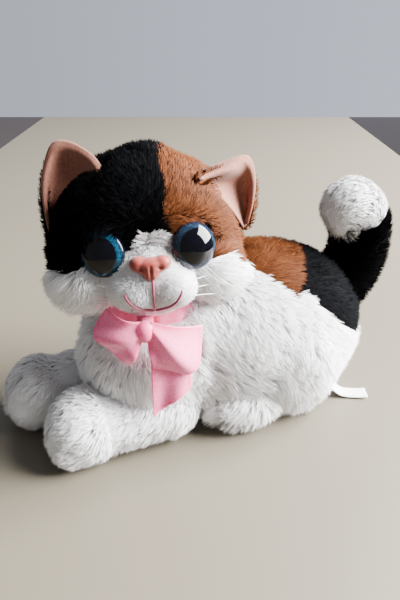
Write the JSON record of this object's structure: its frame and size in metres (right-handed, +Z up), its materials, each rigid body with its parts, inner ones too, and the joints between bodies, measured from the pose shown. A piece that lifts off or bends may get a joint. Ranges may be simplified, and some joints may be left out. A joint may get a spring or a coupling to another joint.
{
  "type": "plush cat",
  "caption": "Lying plush cat with its head turned to the left, calico long-pile cover, plastic eyes and nose, a ribbon bow, and legs, ears, head and tail that bend at their seams.",
  "frame": {"origin": "on the table, under the middle of the outer box", "axes": "+Z up, the body points along -Y, the cat's own left is +X"},
  "size_m": [0.1154, 0.2805, 0.1784],
  "materials": {
    "white_plush": "long soft pile",
    "black_plush": "soft pile",
    "orange_plush": "soft pile",
    "white_velour": "short pile",
    "pink_velour": "short pile",
    "fibre_fill": "loose fibre",
    "pouch_cloth": "plain weave",
    "pink_ribbon": "sheer weave with satin edges",
    "label_satin": "satin",
    "thread_pink": "embroidery thread",
    "thread_white": "sewing thread",
    "clear_dome": "clear, polished",
    "glitter_blue": "glitter film with a black middle",
    "nose_plastic": "satin moulded",
    "washer_plastic": "moulded",
    "whisker_nylon": "clear strand"
  },
  "bodies": {
    "torso": {"belly_panel": "white_plush", "breast_panel": "white_plush", "chest_panel": "white_plush", "saddle_panel": "orange_plush", "rump_panel": "black_plush", "side_panel_left": "white_plush", "side_panel_right": "white_plush", "chest_stuffing": "fibre_fill", "torso_stuffing": "fibre_fill", "pellet_pouch": "pouch_cloth", "hind_leg_left_cover": "white_plush", "hind_thigh_left_stuffing": "fibre_fill", "hind_foot_left_stuffing": "fibre_fill", "hind_leg_right_cover": "white_plush", "hind_thigh_right_stuffing": "fibre_fill", "hind_foot_right_stuffing": "fibre_fill"},
    "neck": {"neck_stuffing": "fibre_fill", "neck_ribbon": "pink_ribbon", "bow_knot": "pink_ribbon", "bow_loop_left": "pink_ribbon", "bow_loop_right": "pink_ribbon"},
    "head": {"head_orange_front_panel": "orange_plush", "head_orange_back_panel": "orange_plush", "head_black_front_panel": "black_plush", "head_black_back_panel": "black_plush", "cheek_panel": "white_plush", "blaze_panel": "white_plush", "muzzle_panel": "white_velour", "head_stuffing": "fibre_fill", "eye_left_dome": "clear_dome", "eye_left_iris": "glitter_blue", "eye_left_washer": "washer_plastic", "eye_right_dome": "clear_dome", "eye_right_iris": "glitter_blue", "eye_right_washer": "washer_plastic", "nose": "nose_plastic", "nose_washer": "washer_plastic", "mouth_stitch": "thread_pink", "whiskers_left": "whisker_nylon", "whiskers_right": "whisker_nylon"},
    "ear_left": {"ear_left_back": "orange_plush", "ear_left_lining": "pink_velour"},
    "ear_right": {"ear_right_back": "black_plush", "ear_right_lining": "pink_velour"},
    "bow_end": {"bow_tail": "pink_ribbon"},
    "front_leg_left": {"front_leg_left_cover": "white_plush", "front_leg_left_stuffing": "fibre_fill", "toe_stitches_left": "thread_white"},
    "front_leg_right": {"front_leg_right_cover": "white_plush", "front_leg_right_stuffing": "fibre_fill", "toe_stitches_right": "thread_white"},
    "tail": {"tail_cover": "black_plush", "tail_stuffing": "fibre_fill"},
    "tail_tip": {"tail_tip_cover": "white_plush", "tail_tip_stuffing": "fibre_fill"},
    "label": {"care_label": "label_satin"}
  },
  "joints": [
    {"name": "neck_turn", "type": "hinge", "parent": "torso", "child": "neck", "pos_m": [-0.0098, -0.0423, 0.078], "axis": [0, 0, 1], "range_deg": [-12, 12], "stiffness_Nm_per_rad": 0.4},
    {"name": "head_nod", "type": "hinge", "parent": "neck", "child": "head", "pos_m": [-0.0098, -0.0423, 0.078], "axis": [0.309, 0.9511, 0], "range_deg": [-5, 5], "stiffness_Nm_per_rad": 1.2},
    {"name": "front_leg_left_lift", "type": "hinge", "parent": "torso", "child": "front_leg_left", "pos_m": [0.0282, -0.0483, 0.02], "axis": [-1, 0, 0], "range_deg": [0, 12], "stiffness_Nm_per_rad": 0.05},
    {"name": "front_leg_right_lift", "type": "hinge", "parent": "torso", "child": "front_leg_right", "pos_m": [-0.0258, -0.0483, 0.02], "axis": [-1, 0, 0], "range_deg": [0, 12], "stiffness_Nm_per_rad": 0.05},
    {"name": "tail_swing", "type": "hinge", "parent": "torso", "child": "tail", "pos_m": [0.0012, 0.10231, 0.04384], "axis": [0, 0, 1], "range_deg": [-18, 18], "stiffness_Nm_per_rad": 0.08},
    {"name": "tail_bend", "type": "hinge", "parent": "tail", "child": "tail_tip", "pos_m": [0.0012, 0.1138, 0.10898], "axis": [1, 0, 0], "range_deg": [-15, 0], "stiffness_Nm_per_rad": 0.08},
    {"name": "ear_left_fold", "type": "hinge", "parent": "head", "child": "ear_left", "pos_m": [-0.00084, 0.00119, 0.14164], "axis": [0.3757, 0.4577, -0.8058], "range_deg": [-14, 14], "stiffness_Nm_per_rad": 0.02},
    {"name": "ear_right_fold", "type": "hinge", "parent": "head", "child": "ear_right", "pos_m": [-0.02913, -0.08261, 0.14542], "axis": [0.0139, 0.6791, 0.7339], "range_deg": [-14, 14], "stiffness_Nm_per_rad": 0.02},
    {"name": "bow_end_swing", "type": "hinge", "parent": "neck", "child": "bow_end", "pos_m": [0.04536, -0.06022, 0.074], "axis": [0.9511, -0.309, 0], "range_deg": [-8, 8]},
    {"name": "label_lift", "type": "hinge", "parent": "torso", "child": "label", "pos_m": [0.0362, 0.0697, 0.0047], "axis": [0.8829, -0.4695, 0], "range_deg": [0, 25]}
  ]
}
